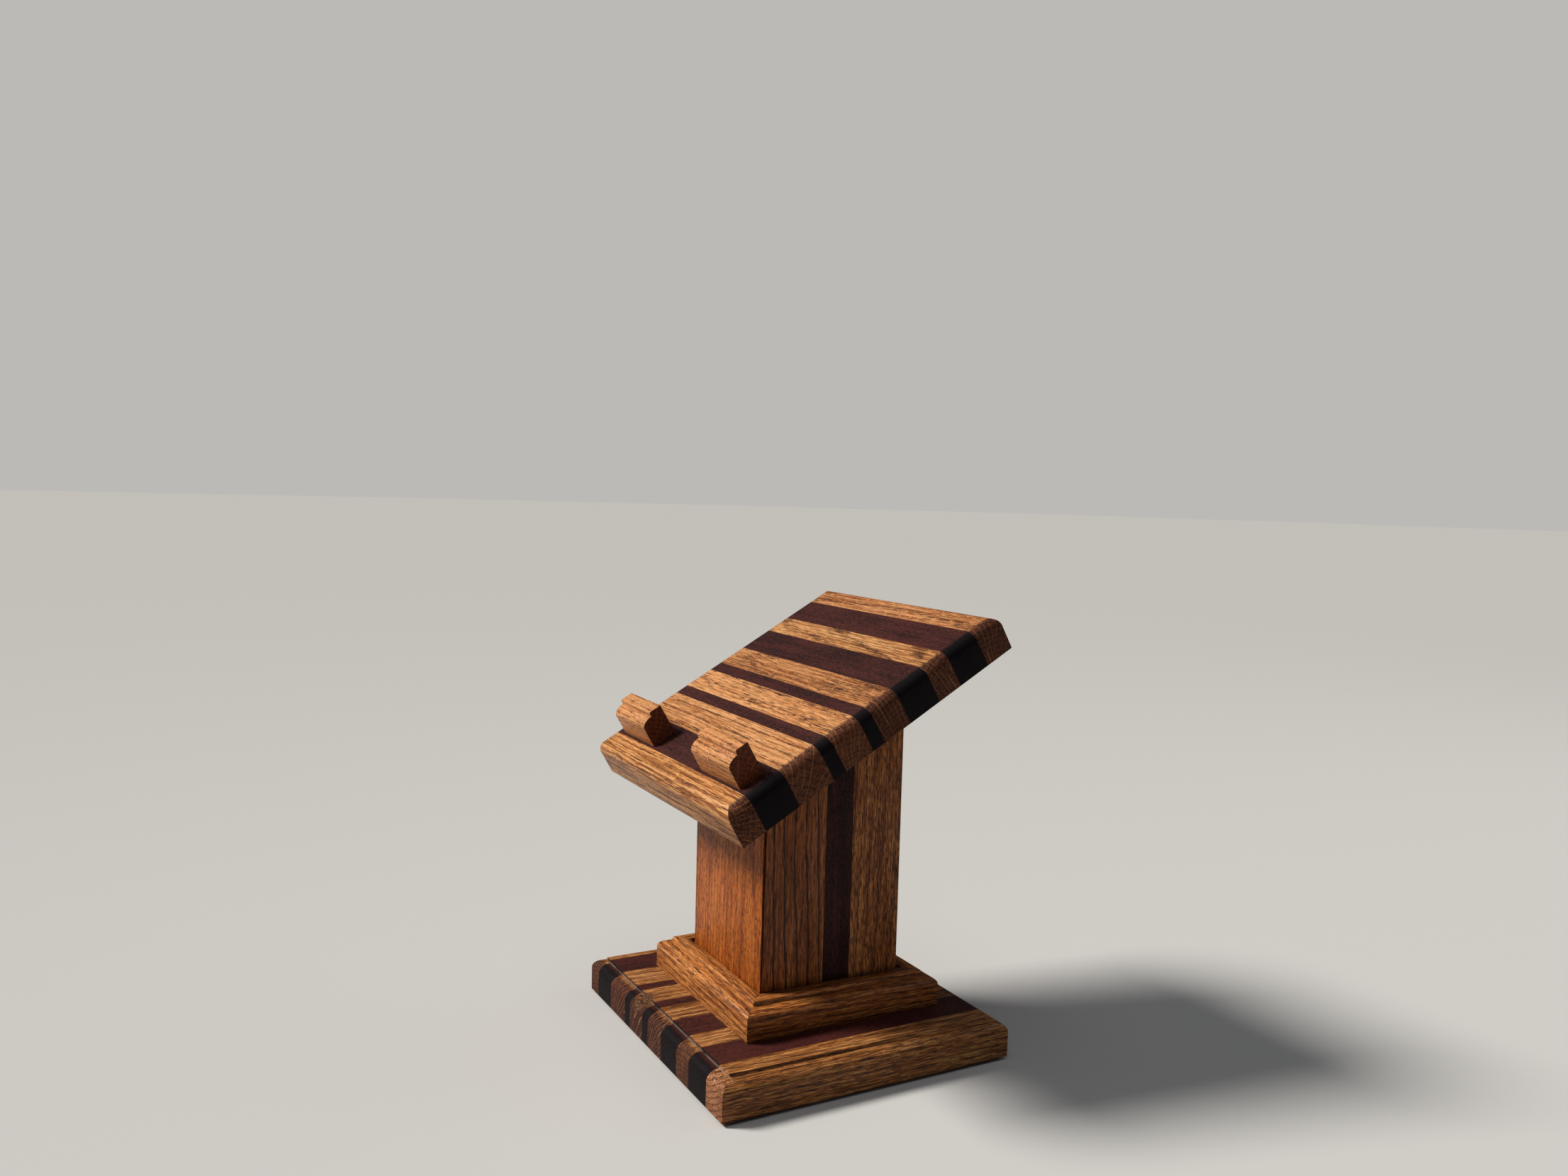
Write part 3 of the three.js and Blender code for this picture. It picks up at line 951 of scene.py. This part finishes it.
makeMouldings()
makeBlocks()


column = {
    "wall": 19 * mm,
    "cornerGap": 0.7 * mm,   # the glue joint at each long corner has opened a little
    "openCorner": 2.2 * mm,  # and the front right one has opened wide at the top
    "corner": 0.35 * mm,
    "overrun": 10 * mm,      # the walls are cut to the slope from this much over length
    "grainStart": 0.1,       # height that their grain is measured from
    "board": {"rings": 3.6, "tone": 0.30, "tint": (0.88, 0.51, 0.16), "dashSize": (0.45, 4, 0.45),
              "dashes": 0.65, "lines": 0.1, "bands": 0.3, "spread": 0.8},
    # the side strips are toned darker than the front and back boards: partly their own wood, partly
    # painted shade of the column's shaded right side
    "front": {"heart": (62, 0, 12), "rings": 7.5, "lines": 1.17, "lineWidth": 0.18, "broken": 0.34,
              "bands": 0.5, "spread": 0.8, "dashes": 0.8, "tone": 0.42, "tint": (0.84, 0.62, 0.46)},
    "middle": {"tone": 0.68},
    "back": {"rings": 4.0, "lines": 0.5, "dashes": 1.0, "spread": 0.9, "tone": 0.4,
             "dashSize": (0.5, 6, 0.5), "tint": (1, 0.84, 0.68)},
}


def makeColumn():
    front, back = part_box("column_front_board"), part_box("column_back_board")
    left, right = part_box("column_left_strip_middle"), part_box("column_right_strip_middle")
    low = Vector((left[0].x, front[0].y, 0))
    high = Vector((right[1].x, back[1].y, 0))
    foot = baseTop
    top = back[1].z + column["overrun"]
    wall = column["wall"]
    slope = (ledgeFoot, (0, -sine, cosine))
    gap = column["cornerGap"] / 2
    spread = (column["openCorner"] - column["cornerGap"]) / (ledgeFoot.z - foot)

    def wallBoard(name, lowCorner, highCorner, mitres, across, look, wood, node):
        piece = addBlock(name, (*lowCorner, foot), (*highCorner, top))
        for point, outward in mitres:
            cutAway(piece, point, outward)
        cutAway(piece, *slope)
        softenEdges(piece, column["corner"])
        smoothFaces(piece)
        middle = [(a + b) / 2 for a, b in zip(lowCorner, highCorner)]
        place = (*middle, column["grainStart"])
        material = stripMaterial(name, wood, Grain(across, (0, 0, 1)), place, look)
        ready(piece, material, slotOf(wood), node)

    for side, outer, facing in (("front", low.y, -1), ("back", high.y, 1)):
        ys = sorted((outer, outer - facing * wall))
        # the mitre planes lean inwards from the outer face
        mitres = [((low.x + gap, outer, foot), (-1, -facing, 0)),
                  ((high.x - gap, outer, foot), (1, -facing, 0))]
        look = column["board"] | {"heart": (30 * facing, 50, 22), "seed": 41 + facing}
        wallBoard(f"column_{side}_oak", (low.x, ys[0]), (high.x, ys[1]), mitres, (1, 0, 0), look,
                  "o", f"column_{side}_board")
    for side, outer, facing in (("left", low.x, -1), ("right", high.x, 1)):
        boxes = [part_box(f"column_{side}_strip_{part}") for part in ("front", "middle", "back")]
        cuts = [low.y, (boxes[0][1].y + boxes[1][0].y) / 2, (boxes[1][1].y + boxes[2][0].y) / 2, high.y]
        xs = sorted((outer, outer - facing * wall))
        lean = spread if side == "right" else 0
        mitres = {"front": [((outer, low.y + gap, foot), (-facing, -1, lean))],
                  "middle": [],
                  "back": [((outer, high.y - gap, foot), (-facing, 1, 0))]}
        for i, part in enumerate(mitres):
            wood = "d" if part == "middle" else "o"
            look = {"heart": (14 - 20 * i, 90 * i, 38 * facing), "seed": 61 + 5 * i + facing}
            look |= column[part]
            wallBoard(f"column_{side}_{part}", (xs[0], cuts[i]), (xs[1], cuts[i + 1]), mitres[part],
                      (0, 1, 0), look, wood, f"column_{side}_strip_{part}")
    print("column made")


makeColumn()


def finishHiddenWood():
    # plugs and dowels keep the frame's shapes, with a finish of their own
    upright = Grain((1, 0, 0), (0, 0, 1))
    square = Grain((1, 0, 0), (0, -sine, cosine))
    for name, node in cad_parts.items():
        if "plug" in name or "dowel" in name:
            low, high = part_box(name)
            grain = upright if "plug" in name else square
            finish = paleMaterial(name + " wood", grain, (low + high) / 2, low.x * 100 + low.z * 70)
            for slot in node.material_slots:
                slot.material = finish
    print("hidden wood finished")


finishHiddenWood()


stage = {
    "floor": colour(0.50, 0.495, 0.485),
    "floorRadius": 20,
    "ambient": colour(0.05, 0.055, 0.06),
    "backdrop": colour(0.50, 0.49, 0.47),
    "sun": Vector((-0.42, -0.70, 0.76)),  # towards the key light
    "sunPower": 4.8,
    "sunWidth": math.radians(16),
    "sunTint": (1.0, 0.96, 0.90),
    "aim": Vector((0, 0, 0.14)),  # what the softboxes point at
    "boxTint": (0.95, 0.97, 1.0),
    "rim": {"place": (0.4, 1.6, 1.2), "size": 1.0, "power": 3},
    "overhead": {"place": (0.30, -0.15, 1.5), "size": 0.9, "power": 3.5},
}


def makeStage():
    clearSelection()
    bpy.ops.mesh.primitive_circle_add(vertices=64, radius=stage["floorRadius"], fill_type="NGON",
                                      location=(0, 0, 0))
    floor = bpy.context.object
    floor.name = "floor"
    material, _, shader, _ = newMaterial("pale floor")
    shader.inputs["Base Color"].default_value = stage["floor"]
    shader.inputs["Roughness"].default_value = 0.9
    shader.inputs["Specular IOR Level"].default_value = 0.0
    floor.data.materials.append(material)
    world = bpy.data.worlds.new("studio")
    bpy.context.scene.world = world
    world.use_nodes = True
    # a pale backdrop to look at, and a dimmer one that lights the shaded sides
    seen = Wire(world.node_tree, None).node("ShaderNodeLightPath", {}, {}, "Is Camera Ray")
    sky = seen.mix(stage["ambient"], stage["backdrop"])
    join(world.node_tree, world.node_tree.nodes["Background"], Color=sky)


def addSun():
    clearSelection()
    bpy.ops.object.light_add(type="SUN", location=stage["sun"] * 2)
    lamp = bpy.context.object
    lamp.name = "key"
    lamp.data.energy = stage["sunPower"]
    lamp.data.angle = stage["sunWidth"]
    lamp.data.color = stage["sunTint"]
    lamp.rotation_euler = (-stage["sun"]).to_track_quat("-Z", "Y").to_euler()


def addSoftbox(name):
    look = stage[name]
    clearSelection()
    bpy.ops.object.light_add(type="AREA", location=look["place"])
    lamp = bpy.context.object
    lamp.name = name
    lamp.data.shape = "SQUARE"
    lamp.data.size = look["size"]
    lamp.data.energy = look["power"]
    lamp.data.color = stage["boxTint"]
    aim = stage["aim"] - Vector(look["place"])
    lamp.rotation_euler = aim.to_track_quat("-Z", "Y").to_euler()


camera = {
    "azimuth": math.radians(61.39),
    "elevation": math.radians(4.65),
    "roll": math.radians(1.52),
    "aim": Vector((0, 0, 0.102)),
    "distance": 0.83598,     # from the aim, then aside and up in the camera's own plane
    "right": -0.00557,
    "up": 0.18869,
    "lens": 29.06,
    "sensor": 36,
    "near": 0.05,
    "far": 60,
}


def makeCamera():
    azimuth, elevation, roll = camera["azimuth"], camera["elevation"], camera["roll"]
    outward = math.cos(elevation)
    back = Vector((math.sin(azimuth) * outward, -math.cos(azimuth) * outward, math.sin(elevation)))
    level = Vector((math.cos(azimuth), math.sin(azimuth), 0))
    above = back.cross(level)
    right = level * math.cos(roll) + above * math.sin(roll)
    up = above * math.cos(roll) - level * math.sin(roll)
    data = bpy.data.cameras.new("camera")
    data.lens = camera["lens"]
    data.sensor_width = camera["sensor"]
    data.clip_start = camera["near"]
    data.clip_end = camera["far"]
    holder = bpy.data.objects.new("camera", data)
    bpy.context.scene.collection.objects.link(holder)
    place = camera["aim"] + back * camera["distance"] + right * camera["right"] + up * camera["up"]
    holder.matrix_world = Matrix.Translation(place) @ Matrix((right, up, back)).transposed().to_4x4()
    bpy.context.scene.camera = holder


makeStage()
addSun()
addSoftbox("rim")
addSoftbox("overhead")
makeCamera()
bpy.context.scene.view_settings.view_transform = "Standard"

print("scene ready")
